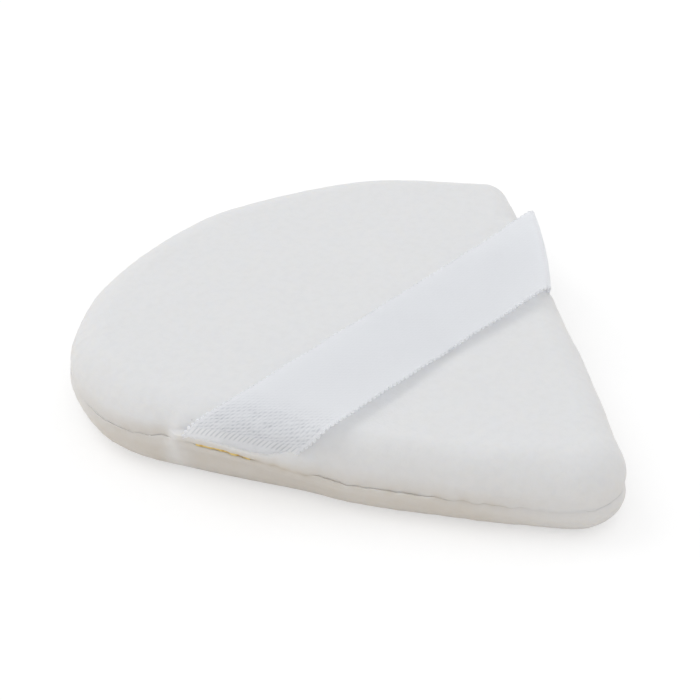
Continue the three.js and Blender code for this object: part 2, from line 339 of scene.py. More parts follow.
satinLook = {
    "white": (0.97, 0.976, 0.988),
    "float": (0.50, 0.52, 0.56),  # between the floats of the weave, dark enough to paint shade over the bend
    "hollow": (0.62, 0.63, 0.65),  # painted shade between ribs
    "ribHighlight": (1.0, 1.0, 1.0),  # painted highlight on the tops of ribs
    "through": 0.64,  # share of light that goes through the cloth
    "floatLength": 0.8,  # mm
    "floatWidth": 0.46,
    "wander": 0.5,  # of the yarns, mm
    "wanders": 1.6,  # per mm, as the next three
    "patches": 0.7,
    "drift": 0.35,
    "fray": 9,
    "sharpness": 1.7,  # of the gaps between floats
    "openWeaveShade": (0.05, 0.68),  # of the weave, on the flat and over the bend, where it also paints shade
}


def satinFinish():
    finish, tree, shader = startFinish("satin", **{"Anisotropic": 0.5, "Sheen Weight": 0.2,
                                                   "Specular IOR Level": 0.8})
    cloth = addNode(tree, "ShaderNodeUVMap", uv_map="weave").outputs["UV"]  # millimetres of ribbon
    fray = noise(tree, cloth, satinLook["fray"], 2)
    drift = noise(tree, cloth, satinLook["drift"], 2)
    wander = spread(tree, noise(tree, cloth, satinLook["wanders"], 3), 0.0, satinLook["wander"])
    uneven = addNode(tree, "ShaderNodeVectorMath", operation="ADD")
    split = addNode(tree, "ShaderNodeSeparateXYZ")
    wire(tree, (cloth, uneven.inputs[0]), (wander, uneven.inputs[1]), (uneven.outputs[0], split.inputs[0]))
    yarn = mathNode(tree, "MULTIPLY", split.outputs[1], fullTurn / satinLook["floatWidth"])
    step = mathNode(tree, "MULTIPLY", split.outputs[0], fullTurn / satinLook["floatLength"])
    step = mathNode(tree, "ADD", step, mathNode(tree, "MULTIPLY", yarn, 0.5))
    dashes = mathNode(tree, "ADD", mathNode(tree, "COSINE", yarn), mathNode(tree, "COSINE", step))
    sunk = mathNode(tree, "SUBTRACT", 0.5, mathNode(tree, "MULTIPLY", dashes, 0.25))
    sunk = mathNode(tree, "POWER", sunk, satinLook["sharpness"])
    patchy = spread(tree, noise(tree, cloth, satinLook["patches"], 3), -0.3, 1.7)
    # the weave opens over the bend, and its dark floats there also paint the bend's shade
    opened = mathNode(tree, "MULTIPLY", attribute(tree, "bend"), patchy)
    gaps = spread(tree, opened, *satinLook["openWeaveShade"])
    rib = attribute(tree, "rib")
    colour = mixed(tree, mathNode(tree, "MULTIPLY", sunk, gaps),
                   (*satinLook["white"], 1), (*satinLook["float"], 1))
    # painted shade between the ribs and painted highlight on their tops
    colour = mixed(tree, mathNode(tree, "MAXIMUM", mathNode(tree, "MULTIPLY", rib, -0.8), 0.0),
                   colour, (*satinLook["hollow"], 1))
    colour = mixed(tree, mathNode(tree, "MAXIMUM", rib, 0.0), colour, (*satinLook["ribHighlight"], 1))
    yarns = bump(tree, dashes, 0.00002, 0.25)
    threadbare = addNode(tree, "ShaderNodeBsdfTranslucent")
    both = addNode(tree, "ShaderNodeMixShader")
    both.inputs[0].default_value = satinLook["through"]
    wire(tree, (colour, shader.inputs["Base Color"]), (colour, threadbare.inputs["Color"]),
         (spread(tree, drift, 0.34, 0.48), shader.inputs["Roughness"]),
         (bump(tree, fray, 0.00002, 0.2, yarns), shader.inputs["Normal"]),
         (shader.outputs[0], both.inputs[1]), (threadbare.outputs[0], both.inputs[2]),
         (both.outputs[0], tree.nodes["Material Output"].inputs["Surface"]))
    return finish


threadLook = {"cotton": (0.83, 0.82, 0.79), "shade": (0.66, 0.65, 0.62), "fibres": 5200}


def threadFinish():
    finish, tree, shader = startFinish("thread", **{"Sheen Weight": 0.2, "Specular IOR Level": 0.3})
    place = objectPlace(tree)
    fibres = noise(tree, place, threadLook["fibres"], 3)
    colour = ramp(tree, fibres, (0.3, threadLook["shade"]), (0.6, threadLook["cotton"]))
    wire(tree, (colour, shader.inputs["Base Color"]),
         (spread(tree, fibres, 0.7, 0.9), shader.inputs["Roughness"]),
         (bump(tree, fibres, 0.00005, 0.5), shader.inputs["Normal"]))
    return finish


velour = velourFinish()
sponge = spongeFinish()
satin = satinFinish()
thread = threadFinish()
print("finishes made")


# wedge pattern along the seam line, millimetres, turned to the part's own frame
puffCut = {
    "tipAngle": 62.0,
    "sideLength": 74.7,
    "leftBow": 3.4,
    "rightBow": 0.1,
    "roundBow": 21.5,
    "tipRadius": 6.9,
    "crispRadius": 3.6,
    "bluntRadius": 19.7,
    "steps": (36, 96, 34, 180, 84, 110),  # tip, right side, crisp corner, round end, blunt corner, left side
}


def discThrough(a, b, bow):
    chord = b - a
    radius = chord @ chord / (8 * bow) + bow / 2
    outward = unit(np.array((chord[1], -chord[0])))
    return (a + b) / 2 + outward * (bow - radius), radius


def wedgeAt(tip):
    half = math.radians(puffCut["tipAngle"] / 2)
    reach = puffCut["sideLength"] * np.array((math.sin(half), math.cos(half)))
    right, left = tip + reach, tip + reach * (-1, 1)
    return {"tip": tip, "right": right, "left": left,
            "rightDisc": discThrough(tip, right, puffCut["rightBow"]),
            "roundDisc": discThrough(right, left, puffCut["roundBow"]),
            "leftDisc": discThrough(left, tip, puffCut["leftBow"])}


def cornerArc(discA, discB, radius, corner, inset):
    r = max(radius - inset, 0.3)
    ra, rb = discA[1] - inset - r, discB[1] - inset - r
    along = discB[0] - discA[0]
    length = np.linalg.norm(along)
    along = along / length
    reach = (ra * ra - rb * rb + length * length) / (2 * length)
    rise = np.array((-along[1], along[0])) * math.sqrt(max(ra * ra - reach * reach, 0))
    foot = discA[0] + along * reach
    centre = min(foot + rise, foot - rise, key=lambda p: np.linalg.norm(p - corner))
    return (centre, *(centre + unit(centre - disc[0]) * r for disc in (discA, discB)))


def arcPoints(centre, start, end, steps):
    first = math.atan2(*(start - centre)[::-1])
    turn = (math.atan2(*(end - centre)[::-1]) - first) % fullTurn
    angles = first + turn * np.arange(steps) / steps
    return centre + np.linalg.norm(start - centre) * np.stack((np.cos(angles), np.sin(angles)), 1)


def ringOf(wedge, inset):
    tip = cornerArc(wedge["leftDisc"], wedge["rightDisc"], puffCut["tipRadius"], wedge["tip"], inset)
    crisp = cornerArc(wedge["rightDisc"], wedge["roundDisc"], puffCut["crispRadius"], wedge["right"], inset)
    blunt = cornerArc(wedge["roundDisc"], wedge["leftDisc"], puffCut["bluntRadius"], wedge["left"], inset)
    arcs = (tip, (wedge["rightDisc"][0], tip[2], crisp[1]),
            crisp, (wedge["roundDisc"][0], crisp[2], blunt[1]),
            blunt, (wedge["leftDisc"][0], blunt[2], tip[1]))
    return np.vstack([arcPoints(*arc, steps) for arc, steps in zip(arcs, puffCut["steps"])])


loose = ringOf(wedgeAt(np.zeros(2)), 0)
wedge = wedgeAt(-(loose.min(0) + loose.max(0)) / 2)
rim = ringOf(wedge, 0)
ahead = np.roll(rim, -1, 0)
seamRun = np.concatenate(((0,), np.cumsum(np.linalg.norm(ahead - rim, axis=1))))[:-1]  # length along the seam
seamLength = seamRun[-1] + np.linalg.norm(rim[0] - rim[-1])
tangent = ahead - np.roll(rim, 1, 0)
tangent /= np.linalg.norm(tangent, axis=1)[:, None]
outward = np.stack((tangent[:, 1], -tangent[:, 0]), 1)
around = len(rim)


def seamAt(point):
    return seamRun[np.argmin(np.linalg.norm(rim - point, axis=1))]


def eased(t):
    t = np.clip(t, 0, 1)
    return t * t * (3 - 2 * t)


def between(s, start, end, soft):
    return eased((s - start) / soft + 0.5) * eased((end - s) / soft + 0.5)


def hump(s, middle, width):
    return np.exp(-0.5 * ((s - middle) / width) ** 2)


seeds = {
    "backGap": 11,
    "faceGap": 12,
    "grooveShade": 15,
    "backSwell": 21,
    "faceSwell": 22,
    "nap": 31,
    "dimple": 33,
    "tongue": 41,
    "pores": 42,
    "slack": 51,
}


def clothNoise(points, wavelength, seed, waves=56):
    draw = np.random.RandomState(seed)
    ways = draw.normal(size=(waves, points.shape[-1]))
    ways *= (fullTurn / (wavelength * draw.uniform(0.7, 1.5, waves)) / np.linalg.norm(ways, axis=1))[:, None]
    return np.sin(points @ ways.T + draw.uniform(0, fullTurn, waves)).sum(-1) / math.sqrt(waves / 2)


def seamNoise(wavelength, seed):
    circle = seamRun / seamLength * fullTurn
    ring = np.stack((np.cos(circle), np.sin(circle)), 1) * seamLength / fullTurn
    return clothNoise(ring, wavelength, seed)


# the seam wanders: low along the front, drawn up at the ribbon's left end
seamWander = {
    "marks": ((-6.9, -38.0, 4.65), (-23.4, -14.5, 4.75), (-26.2, -9.6, 6.0), (-29.7, -2.9, 7.0),
              (-32.1, 1.9, 7.4), (-33.4, 4.6, 7.1), (-34.3, 6.5, 6.4), (-35.5, 9.6, 5.8),
              (-36.3, 14.6, 5.55), (0.0, 35.0, 5.4), (26.3, 0.0, 5.3), (3.0, -37.0, 4.9)),  # x, y and height
    "step": 0.25,  # along the seam
    "window": 24,  # steps to each side that are smoothed together
    "smoothing": 1.3,
    "ripples": ((0.06, 1.6, 13), (0.05, 4.0, 14)),  # height, wavelength and seed
}


def seamCurve():
    step, window = seamWander["step"], seamWander["window"]
    marks = sorted((seamAt(np.array(mark[:2])), mark[2]) for mark in seamWander["marks"])
    run = np.arange(0, seamLength, step)
    rough = np.interp(run, *zip(*marks), period=seamLength)
    weight = np.exp(-0.5 * (np.arange(-window, window + 1) * step / seamWander["smoothing"]) ** 2)
    smooth = np.convolve(np.tile(rough, 3), weight / weight.sum(), "same")[len(run):2 * len(run)]
    return lambda place: np.interp(place, run, smooth, period=seamLength)


seamLevel = seamCurve()
seamLine = seamLevel(seamRun)
for ripple, wavelength, seed in seamWander["ripples"]:
    seamLine = seamLine + ripple * seamNoise(wavelength, seed)

# satin ribbon: a straight strip that bends over each side's rim and turns in to the seam
ribbonCut = {
    "width": 13.0,
    "thick": 0.26,
    "fromCorners": 33.0,  # back from the side's length, on the wedge's axis
    "tilt": 6.7,  # degrees
    "level": 12.4,
    "foldRadius": 0.7,
    "held": 3.4,  # in the seam, past the groove
    "kickLead": 1.7,  # over the drop, where the end begins to stand off
    "kickRun": 2.6,
    "liftStart": 1.5,  # rim to the line where it begins to lift
    "liftLean": 0.5,  # that line goes in by this for each mm down, so the tail stays sewn
    "left": {
        "nearRadius": 1.6,  # of the bend, at the edge towards the tip
        "farRadius": 3.8,
        "standoff": 0.38,  # outside the rim
        "flare": 0.0,  # degrees the bend is turned from the rim's line
        "kick": 0.2,  # how far the end stands off at the fold
        "shift": 2.0,  # sideways on the way down
        "splay": 0.2,  # and more at the far edge
        "bow": 0.0,  # middle of the bend past its edges
        "lift": 0.0,  # far edge raised before the bend
        "reach": 16.0,  # rim to the line past which it lifts whole
    },
    "right": {
        "nearRadius": 1.0,
        "farRadius": 1.0,
        "standoff": -0.25,
        "flare": -7.1,
        "kick": 0.0,
        "shift": 0.0,
        "splay": 0.0,
        "bow": 0.45,
        "lift": 0.4,
        "reach": 14.3,
    },
    "columns": 181,
    "bendRows": (5, 9, 24, 40),  # in the tail, the fold, the drop and the bend
    "flatRows": 45,
}
coverCut = {
    "thickness": 11.0,
    "crown": 0.4,
    "cloth": 1.2,
    "rimDepth": 5.2,
    "lipHeight": 1.3,  # widest line, from the seam
    "groove": 0.22,
    "turnIn": 4.0,
    "lip": 0.015,  # half the gap between the two lips
    "stitchPitch": 2.6,
    "stitchPull": 0.05,
    "swell": 0.10,  # loose waves along the rim
    "dimple": 0.07,  # and over the flats
    "dimpleWave": 17.0,
    "nap": 0.006,  # unevenness of the pile
    "napWaves": (1.5, 5.0),
    "napShare": 0.7,  # of each of the two
    "outsideSteps": (46, 28, 14),  # over the flat, round the rim and into the lip
    "insideSteps": (8, 8, 4),
    "hemSteps": 3,
}
seamHeight = coverCut["thickness"] / 2


def turned(v, degrees):
    c, s = math.cos(math.radians(degrees)), math.sin(math.radians(degrees))
    return np.array((c * v[0] - s * v[1], s * v[0] + c * v[1]))


along = turned(np.array((1.0, 0.0)), ribbonCut["tilt"])
across = np.array((-along[1], along[0]))
crossing = wedge["tip"] + (0, puffCut["sideLength"] - ribbonCut["fromCorners"])


# where the ribbon leaves one side
def ribbonEnd(disc, direction, slack):
    offset = crossing - disc[0]
    b = offset @ along * direction
    reach = -b + math.sqrt(b * b - offset @ offset + disc[1] ** 2)
    rimPoint = crossing + along * direction * reach
    out = turned(unit(rimPoint - disc[0]), slack["flare"])
    return {"rim": rimPoint, "out": out, "bend": np.array((-out[1], out[0])), **slack}


leftEnd = ribbonEnd(wedge["leftDisc"], -1, ribbonCut["left"])
rightEnd = ribbonEnd(wedge["rightDisc"], 1, ribbonCut["right"])


# lengths past the rim point at which the strip bends, drops, folds and enters the seam, at places across it
def ribbonStops(end, v):
    fold, level = ribbonCut["foldRadius"], ribbonCut["level"] - seamHeight
    radius = end["nearRadius"] + (end["farRadius"] - end["nearRadius"]) * (v / ribbonCut["width"] + 0.5)
    bendStart = end["standoff"] - radius
    dropStart = bendStart + radius * math.pi / 2
    foldStart = dropStart + level - radius - fold
    tailStart = foldStart + fold * math.pi / 2
    tailEnd = tailStart + end["standoff"] + end["kick"] - fold + coverCut["groove"] + ribbonCut["held"]
    return {"radius": radius, "bendStart": bendStart, "dropStart": dropStart, "foldStart": foldStart,
            "tailStart": tailStart, "tailEnd": tailEnd}


# how far out and how high over the seam the ribbon's middle surface is, at a length past the rim point
def ribbonProfile(end, length, stops):
    fold, level = ribbonCut["foldRadius"], ribbonCut["level"] - seamHeight
    bent = np.clip((length - stops["bendStart"]) / stops["radius"], 0, math.pi / 2)
    dropped = np.clip(length - stops["dropStart"], 0, stops["foldStart"] - stops["dropStart"])
    tucked = np.clip((length - stops["foldStart"]) / fold, 0, math.pi / 2)
    tail = np.clip(length - stops["tailStart"], 0, None)
    out = np.minimum(length, stops["bendStart"]) + stops["radius"] * np.sin(bent)
    out = out - fold * (1 - np.cos(tucked)) - tail
    kicked = eased((length - stops["dropStart"] + ribbonCut["kickLead"]) / ribbonCut["kickRun"])
    out = out + end["kick"] * kicked
    return out, level - stops["radius"] * (1 - np.cos(bent)) - dropped - fold * np.sin(tucked)


# middle surface of one half, from the tail to the middle of the span, for lengths along and across the strip
def ribbonSurface(end, a, v):
    half = ribbonCut["width"] / 2
    flat = crossing + a[..., None] * along + v[..., None] * across
    length = (flat - end["rim"]) @ end["out"]
    sideways = (flat - end["rim"]) @ end["bend"]
    bow = end["bow"] * (1 - (v / half) ** 2)
    stops = ribbonStops(end, v)
    out, z = ribbonProfile(end, length - bow, stops)
    out = out + bow
    down = eased((length - stops["bendStart"]) / (stops["foldStart"] - stops["bendStart"]))
    sideways = sideways - down * (end["shift"] + end["splay"] * ((v + half) / (2 * half)) ** 2)
    place = end["rim"] + out[..., None] * end["out"] + sideways[..., None] * end["bend"]
    return place, z, length, down


def ribbonRows(end, columns):
    stops = ribbonStops(end, columns)
    marks = [stops[k] for k in ("tailEnd", "tailStart", "foldStart", "dropStart", "bendStart")]
    bends = [np.linspace(a, b, n + 1)[:-1] for a, b, n in zip(marks, marks[1:], ribbonCut["bendRows"])]
    base = (crossing - end["rim"]) @ end["out"]
    strip = (np.vstack((*bends, marks[-1])) - base - columns * (across @ end["out"])) / (along @ end["out"])
    flat = np.linspace(1, 0, ribbonCut["flatRows"] + 1)[1:, None] * strip[-1]
    return np.vstack((strip, flat))


# the ribbon's two edges at one length, as places along the seam and how far they stand off it
def edgeMarks(end, length):
    half = ribbonCut["width"] / 2 * np.array((-1.0, 1.0))
    base = (crossing - end["rim"]) @ end["out"]
    a = (ribbonStops(end, half)[length] - base - half * (across @ end["out"])) / (along @ end["out"])
    places = ribbonSurface(end, a, half)[0]
    nearest = [np.argmin(np.linalg.norm(rim - p, axis=1)) for p in places]
    return sorted((seamRun[k], (p - rim[k]) @ outward[k]) for k, p in zip(nearest, places))


(leftFar, _), (leftNear, _) = edgeMarks(leftEnd, "foldStart")
(rightNear, nearOff), (rightFar, farOff) = edgeMarks(rightEnd, "foldStart")
(bendNear, _), (bendFar, _) = edgeMarks(rightEnd, "dropStart")
print("ribbon leaves the seam at", [round(float(v), 1) for v in (rightNear, rightFar, leftFar, leftNear)],
      "of", round(float(seamLength), 1), "mm")


def newPiece(name, points, faces, finish):
    mesh = bpy.data.meshes.new(name)
    mesh.from_pydata((np.asarray(points) * millimetre).tolist(), [], faces)
    mesh.polygons.foreach_set("use_smooth", [True] * len(mesh.polygons))
    mesh.materials.append(finish)
    mesh.set_sharp_from_angle(angle=math.radians(60))
    mesh.update()
    piece = bpy.data.objects.new(name, mesh)
    scene.collection.objects.link(piece)
    return piece


def paint(piece, label, values):
    piece.data.attributes.new(label, "FLOAT", "POINT").data.foreach_set("value", values)


# rings joined from a pole at the top, out and down, to a pole underneath
def ringFaces(rings):
    faces = [(0, 1 + i, 1 + (i + 1) % around) for i in range(around)]
    for k in range(rings - 1):
        upper, lower = 1 + k * around, 1 + (k + 1) * around
        for i in range(around):
            j = (i + 1) % around
            faces.append((upper + i, lower + i, lower + j, upper + j))
    last = 1 + (rings - 1) * around
    pole = 1 + rings * around
    faces += [(last + i, pole, last + (i + 1) % around) for i in range(around)]
    return faces


centre = np.zeros(2)  # the pattern's own, where every ring shrinks to


def ringPlace(inset, share=1.0):
    return centre + (ringOf(wedge, inset) - centre) * share


pressCut = {
    "margin": 0.4,  # past the ribbon's edges
    "soft": 2.2,
    "clear": 0.35,  # from the ribbon's middle surface to the cloth
    "before": -0.1,  # share of the ribbon's width, past its near edge
}


# how far the right end of the ribbon presses in what lies under it, at one inset and height
def ribbonPress(inset, level, skin):
    down = np.clip((ribbonCut["level"] - level) / (ribbonCut["level"] - seamHeight), 0, 1)
    near, far = bendNear + (rightNear - bendNear) * down, bendFar + (rightFar - bendFar) * down
    off = nearOff + (farOff - nearOff) * np.clip((seamRun - near) / (far - near), pressCut["before"], 1)
    pressed = between(seamRun, near - pressCut["margin"], far + pressCut["margin"], pressCut["soft"])
    return pressed * np.minimum(off - pressCut["clear"] - skin + inset, 0)


# section of one cover: share of the way out, inset, height over the seam, and how far along the lip it is
def coverSection(crown):
    top, lip, groove, cloth = seamHeight, coverCut["lipHeight"], coverCut["groove"], coverCut["cloth"]
    depth, hem = coverCut["rimDepth"], coverCut["groove"] + coverCut["turnIn"]
    quarter = math.pi / 2

    def skin(side, crownSteps, rimSteps, lipSteps, seam):
        rows = [(k / crownSteps, depth, top - side + crown * (1 - (k / crownSteps) ** 2), 0.0)
                for k in range(1, crownSteps)]
        rows += [(1.0, depth - (depth - side) * math.sin(t), lip + (top - side - lip) * math.cos(t), 0.0)
                 for t in np.linspace(0, quarter, rimSteps + 1)]
        rows += [(1.0, groove + side - groove * math.cos(t), lip - (lip - seam) * math.sin(t), math.sin(t))
                 for t in np.linspace(0, quarter, lipSteps + 1)[1:]]
        return rows

    outside = skin(0.0, *coverCut["outsideSteps"], coverCut["lip"])
    inside = skin(cloth, *coverCut["insideSteps"], coverCut["lip"] + cloth)
    steps = coverCut["hemSteps"]
    turnedIn = [(1.0, groove + coverCut["turnIn"] * k / steps, coverCut["lip"], 1.0)
                for k in range(1, steps + 1)]
    hemEdge = [(1.0, hem, coverCut["lip"] + cloth, 0.0)]
    return outside, turnedIn + hemEdge, inside[::-1]


crispMiddle = seamAt(wedge["right"])
# stretches of the seam: start, end and softness of each, mm along it
seamStretches = {
    "slot": (rightNear - 0.1, rightFar + 0.1, 0.8),  # where the ribbon's right end goes in
    "pressed": (bendNear + 1.0, bendFar + 0.8, 3.0),  # and the rim under it
    "mouth": (leftFar + 0.9, leftFar + 9.2, 2.0),  # where the sponge shows
    "tongue": (leftFar + 0.6, leftFar + 9.6, 2.0),  # and is pressed out
    "drawn": (leftFar - 6, leftNear + 8, 16),  # wall under the ribbon's left end
    "shaded": (leftFar + 8, leftNear + 3, 4),
    "blunt": (leftFar - 34, leftFar - 5, 10),
    # painted shadow on the back cover's lower edge beside the ribbon's left end
    "backLipShadow": (leftFar - 9.5, leftFar - 2.6, 2.5),
    # where the face's wall takes its full painted shade and powder tint
    "shadedAndPowdered": (leftFar - 18, seamLength - 6, 14),
    "front": (leftNear + 6, seamLength - 6, 8),
}
# spots on it: middle and width
seamSpots = {
    "pinch": (leftFar - 1.5, 0.85),  # gathered pile beside the ribbon's corner
    "pinchBefore": (leftFar - 1.5 - 1.9, 0.7),
    "pinchAfter": (leftFar - 1.5 + 1.6, 0.5),
    "pinchFace": (leftFar - 1.8, 1.2),
    "rollFar": (leftFar + 1.5, 2.5),
    "rollNear": (leftNear + 0.8, 1.9),
    "tipSide": (13, 4),
    "rightSide": (26, 7),
    "crispSide": (crispMiddle - 6, 4),
    "crisp": (crispMiddle, 6),
}
seamMarks = {
    "pinch": 0.35,
    "pinchHollow": 0.16,  # to both sides of the pinch
    "pinchReach": 1.4,
    "slotGap": 0.26,
    "spongeGap": 0.44,  # face lip drawn down under the ribbon's left end
    "looseGap": 0.005,
    "looseWave": 5.0,
    "swellWave": 16.0,
    "roll": 1.15,  # back lip rolled out over the ribbon's left end
    "rollTop": (1.25, 0.3, 2.4),  # height of the roll, and more at its far and near ends
    "rollSoft": (0.5, 2.5, 3),  # softness of its top, more past the ribbon, and over what length
    "ledge": 0.7,  # face lip under it
    "ledgeTop": 0.9,
    "ledgeSoft": 1.8,
    "farFade": 3,  # how the roll fades past the ribbon's edges
    "nearFade": 5,
    "shut": 0.3,  # how far the seam's groove is filled by pile
    "tipShut": 1.0,  # and round the tip
    "tipAfter": (30, 8),  # length and softness of that, from the tip
    "tipBefore": (12, 9),
    "bluntShut": 0.9,  # and round the blunt corner
    "pinchShut": 0.9,
    "drawIn": 0.3,
    "dip": 0.85,  # of the round end beside the crisp corner
    "dipPast": 4,
    "dipWidth": 5.5,
    "crispBox": 0.38,  # rim less rounded at the crisp corner
    "pressBox": 0.5,  # under the ribbon's right end
    "frontBox": 0.25,
    "boxFrom": 1.5,  # over the seam
    "trim": {"rightSide": 0.2, "tipSide": -0.4, "crispSide": 0.3},  # rim let out or taken in
}
coverShadeAndPowder = {
    "plain": 0.2,  # painted shade and powder tint on the face's wall away from the front
    # painted light: less painted shade where the pile is pinched
    "pinchLit": 0.8,
    # painted shadow on the back cover's lower edge beside the ribbon's left end
    "backLipShadow": 0.6,
    "backRise": 2.6,  # how far it rises on the back cover, mm
    "backShare": 0.6,
    "faceShare": 0.8,  # at the seam
    "grooveShade": (0.75, 0.5),  # painted shade in the seam's groove, and how much that varies along it
    "grooveShadeWave": 2.2,
    "grooveShadeShare": 0.45,
    "shadedCrease": 0.6,
}


def stretchOf(name):
    return between(seamRun, *seamStretches[name])


def spotOf(name):
    return hump(seamRun, *seamSpots[name])


def lipGap(back):
    loose = seamNoise(seamMarks["looseWave"], seeds["backGap" if back else "faceGap"])
    gap = seamMarks["looseGap"] * np.clip(1 + loose, 0, 3)
    gap += seamMarks["slotGap"] * stretchOf("slot")
    if not back:
        gap += seamMarks["spongeGap"] * stretchOf("mouth")
    return gap


# how far the groove is filled, along the seam
def shutGroove(held, pinch):
    (after, afterSoft), (before, beforeSoft) = seamMarks["tipAfter"], seamMarks["tipBefore"]
    tip = eased((after - seamRun) / afterSoft)
    tip = np.maximum(tip, eased((before - seamLength + seamRun) / beforeSoft))
    return np.maximum.reduce((tip * seamMarks["tipShut"], seamMarks["bluntShut"] * stretchOf("blunt"),
                              pinch * seamMarks["pinchShut"], seamMarks["shut"] * (1 - held)))


# all that changes along the seam, for one cover
def coverMarks(back):
    held = eased((seamRun - leftFar) / seamMarks["farFade"] + 1)
    held = held * eased((leftNear - seamRun) / seamMarks["nearFade"] + 1)
    repeat = seamLength / round(seamLength / coverCut["stitchPitch"])
    seam = SimpleNamespace(gap=lipGap(back), pinch=spotOf("pinch"))
    seam.stitch = 0.5 + 0.5 * np.cos(fullTurn * seamRun / repeat)
    seam.swell = seamNoise(seamMarks["swellWave"], seeds["backSwell" if back else "faceSwell"]) * (1 - held)
    seam.beside = spotOf("pinchBefore") + spotOf("pinchAfter")
    seam.shut = shutGroove(held, seam.pinch)
    seam.trim = sum(amount * spotOf(name) for name, amount in seamMarks["trim"].items())
    if back:
        top, farTop, nearTop = seamMarks["rollTop"]
        soft, softer, softRun = seamMarks["rollSoft"]
        seam.roll = seamMarks["roll"] * held
        seam.rollTop = top + farTop * spotOf("rollFar") + nearTop * spotOf("rollNear")
        seam.rollSoft = soft + softer * eased((seamRun - leftNear) / softRun)
        seam.box = np.maximum.reduce((seamMarks["crispBox"] * spotOf("crisp"),
                                      seamMarks["pressBox"] * stretchOf("pressed"),
                                      seamMarks["frontBox"] * stretchOf("front")))
        seam.drawn = 0.0
        seam.tall = (coverCut["thickness"] - seamLine) / seamHeight
    else:
        seam.roll = seamMarks["ledge"] * held
        seam.rollTop, seam.rollSoft = seamMarks["ledgeTop"], seamMarks["ledgeSoft"]
        seam.box = 0.0
        seam.drawn = seamMarks["drawIn"] * stretchOf("drawn")
        seam.tall = seamLine / seamHeight
    # painted shade low on the walls, with a powder tint on the face cover
    seam.front = coverShadeAndPowder["plain"] + (1 - coverShadeAndPowder["plain"]) * stretchOf("shadedAndPowdered")
    # the pinched pile is painted lighter
    seam.front = seam.front * (1 - coverShadeAndPowder["pinchLit"] * spotOf("pinchFace"))
    seam.soiled = seam.front + coverShadeAndPowder["backLipShadow"] * stretchOf("backLipShadow")
    # painted shade in the seam's groove, less where the groove is filled
    grooveShade, uneven = coverShadeAndPowder["grooveShade"]
    grooveShade = grooveShade + uneven * seamNoise(coverShadeAndPowder["grooveShadeWave"], seeds["grooveShade"])
    grooveShade = (1 - seam.shut) * np.clip(grooveShade, 0, 1.5)
    seam.crease = coverShadeAndPowder["grooveShadeShare"] * grooveShade + coverShadeAndPowder["shadedCrease"] * stretchOf("shaded")
    return seam


# pile is never quite even
def raisePile(piece, points, share):
    normals = np.empty(len(points) * 3)
    piece.data.vertices.foreach_get("normal", normals)
    fine, coarse = (coverCut["napShare"] * clothNoise(points, wave, seeds["nap"] + k)
                    for k, wave in enumerate(coverCut["napWaves"]))
    dimples = clothNoise(points, coverCut["dimpleWave"], seeds["dimple"])
    lift = coverCut["nap"] * (fine + coarse) + coverCut["dimple"] * dimples
    points = points + normals.reshape(-1, 3) * (lift * share)[:, None]
    points[:, 2] = np.maximum(points[:, 2], 0)
    piece.data.vertices.foreach_set("co", (points * millimetre).ravel())
    piece.data.update()


def makeCover(name, back):
    up = 1 if back else -1
    crown = coverCut["crown"] if back else 0.0
    depth = coverCut["rimDepth"]
    outside, hem, inside = coverSection(crown)
    seam = coverMarks(back)
    dipSpot = rim[np.argmin(np.abs(seamRun - crispMiddle - seamMarks["dipPast"]))]
    rings, shadeAndPowder, crease, nap = [], [], [], []
    for index, (share, inset, z, lip) in enumerate(outside + hem + inside):
        shown, atRim = index < len(outside), share == 1
        flat = ringPlace(inset, share)
        wall = eased((depth - inset) / depth) if atRim and shown else 0.0
        low = eased((seamHeight - z) / seamHeight * seamMarks["pinchReach"]) * wall
        push = (coverCut["swell"] * seam.swell - seam.drawn * eased(z - 1)) * wall
        push = push - coverCut["stitchPull"] * seam.stitch * lip * shown + seam.trim * atRim
        push = push + low * (seamMarks["pinch"] * seam.pinch - seamMarks["pinchHollow"] * seam.beside)
        height = z + seam.gap * lip
        if shown and atRim:
            push = push + seam.roll * eased((seam.rollTop - z) / seam.rollSoft + 0.5)
            push = push + seam.box * inset * eased((z - seamMarks["boxFrom"]) / 2)
        if shown and lip > 0:
            push = push + seam.shut * inset
            height = height - seam.shut * seam.gap * lip
        level = seamLine + up * height * seam.tall if atRim else seamHeight + up * height
        if back:
            dip = hump(np.linalg.norm(flat - dipSpot, axis=1), 0, seamMarks["dipWidth"])
            level = level - seamMarks["dip"] * dip * eased(z / seamHeight)
            # painted shade on the back cover's rim, darker towards the seam
            wallShadeAndPowder = seam.soiled * eased(1 - z / coverShadeAndPowder["backRise"]) * coverShadeAndPowder["backShare"] * atRim
            if atRim:
                push = push + ribbonPress(inset - push, level, 0 if shown else coverCut["cloth"])
        else:
            # painted shade and powder tint over the face cover, a little weaker at the seam
            wallShadeAndPowder = seam.front * (coverShadeAndPowder["faceShare"] + (1 - coverShadeAndPowder["faceShare"]) * eased(z / 2))
        rings.append(np.column_stack((flat + outward * push[:, None], level)))
        shadeAndPowder.append(wallShadeAndPowder)
        # painted shade at the bottom of the seam
        crease.append(lip ** 3 * seam.crease)
        nap.append(np.full(around, float(shown) * (1 - lip)))
    topPole = (*centre, seamHeight + up * (seamHeight + crown))
    lowPole = (*centre, seamHeight + up * (seamHeight - coverCut["cloth"] + crown))
    poleNap = (1.0, 0.0)
    if not back:
        rings, shadeAndPowder, crease, nap = rings[::-1], shadeAndPowder[::-1], crease[::-1], nap[::-1]
        topPole, lowPole, poleNap = lowPole, topPole, poleNap[::-1]
    points = np.vstack((topPole, *rings, lowPole))
    piece = newPiece(name, points, ringFaces(len(rings)), velour)
    for label, rows in (("shadeAndPowder", shadeAndPowder), ("crease", crease)):
        paint(piece, label, np.concatenate((rows[0][:1], *rows, rows[-1][:1])))
    raisePile(piece, points, np.concatenate((poleNap[:1], *nap, poleNap[1:])))
    return piece


